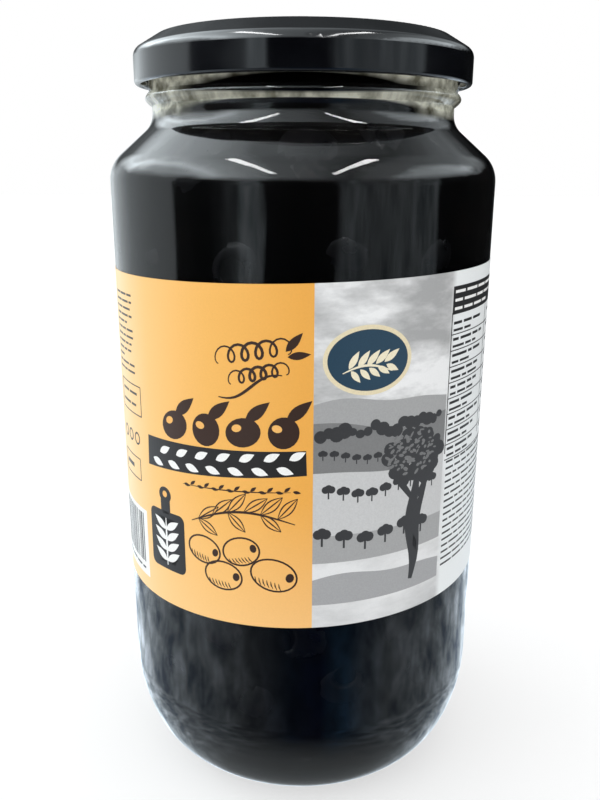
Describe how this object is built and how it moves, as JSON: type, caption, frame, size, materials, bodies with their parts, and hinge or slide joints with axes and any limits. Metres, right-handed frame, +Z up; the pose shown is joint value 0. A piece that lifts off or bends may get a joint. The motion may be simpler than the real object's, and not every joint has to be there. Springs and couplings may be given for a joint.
{
  "type": "jar of olives",
  "caption": "Tall glass jar of black olives in brine, with a twist-off steel lid and a wrap-round paper label.",
  "frame": {"origin": "centre of the ring that the jar stands on, at the height of the surface under it", "axes": "+Z up along the jar's axis; the front of the label faces -Y and its lap is at the back, +Y"},
  "size_m": [0.0992, 0.0993, 0.1956],
  "materials": {
    "clear_glass": "gloss",
    "black_lacquer": "gloss",
    "printed_paper": "satin",
    "dark_brine": "gloss",
    "black_olive": "gloss",
    "printed_ink": "satin"
  },
  "bodies": {
    "root": {"jar": "clear_glass", "lid": "black_lacquer", "label": "printed_paper", "brine": "dark_brine"}
  },
  "joints": []
}
